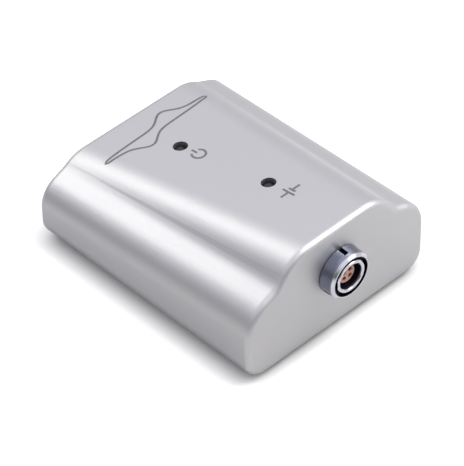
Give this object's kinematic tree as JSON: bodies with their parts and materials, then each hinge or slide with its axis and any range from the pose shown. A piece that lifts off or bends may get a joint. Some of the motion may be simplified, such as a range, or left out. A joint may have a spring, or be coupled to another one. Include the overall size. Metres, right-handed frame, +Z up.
{
  "type": "potentiostat",
  "caption": "Compact bench potentiostat in a silver wedge-shaped metal case, with a round push-pull sensor socket in front, lamps in its top and a small rear inlet.",
  "frame": {"origin": "on the bench under the middle of the overall length, socket nut included, level with the undersides of the feet", "axes": "+Z up; -Y towards the front wall with the sensor socket; +Y towards the rear wall with the inlet; +X to the right seen from the front"},
  "size_m": [0.0564, 0.071, 0.0298],
  "materials": {
    "case": "satin silver, fine-blasted",
    "plate": "brushed, clear anodised",
    "steel": "zinc plated",
    "nickel": "bright nickel plate",
    "gold": "gold plated",
    "insulator": "natural brown",
    "rubber": "matt",
    "board": "green solder mask over glass laminate",
    "black_plastic": "moulded",
    "lens": "smoked clear",
    "ceramic": "fired",
    "cream_plastic": "moulded",
    "lead_sleeve": "smooth"
  },
  "bodies": {
    "root": {"top_cover": "case", "base_plate": "plate", "base_screws": "steel", "rubber_feet": "rubber", "socket_nut": "nickel", "socket_shell": "nickel", "socket_washer": "steel", "socket_insulator": "insulator", "socket_contacts": "gold", "main_board": "board", "board_spacers": "steel", "board_screws": "steel", "power_lamp": "lens", "cell_lamp": "lens", "lamp_holders": "black_plastic", "lamp_leads": "steel", "processor": "black_plastic", "processor_legs": "steel", "amplifiers": "black_plastic", "amplifier_legs": "steel", "converters": "black_plastic", "converter_legs": "steel", "chip_capacitors": "ceramic", "chip_resistors": "black_plastic", "tantalum_capacitors": "black_plastic", "range_resistors": "ceramic", "crystal": "steel", "choke": "black_plastic", "lead_plug": "cream_plastic", "sensor_leads": "lead_sleeve", "inlet_shell": "nickel", "inlet_tongue": "black_plastic", "inlet_contacts": "gold"}
  },
  "joints": []
}
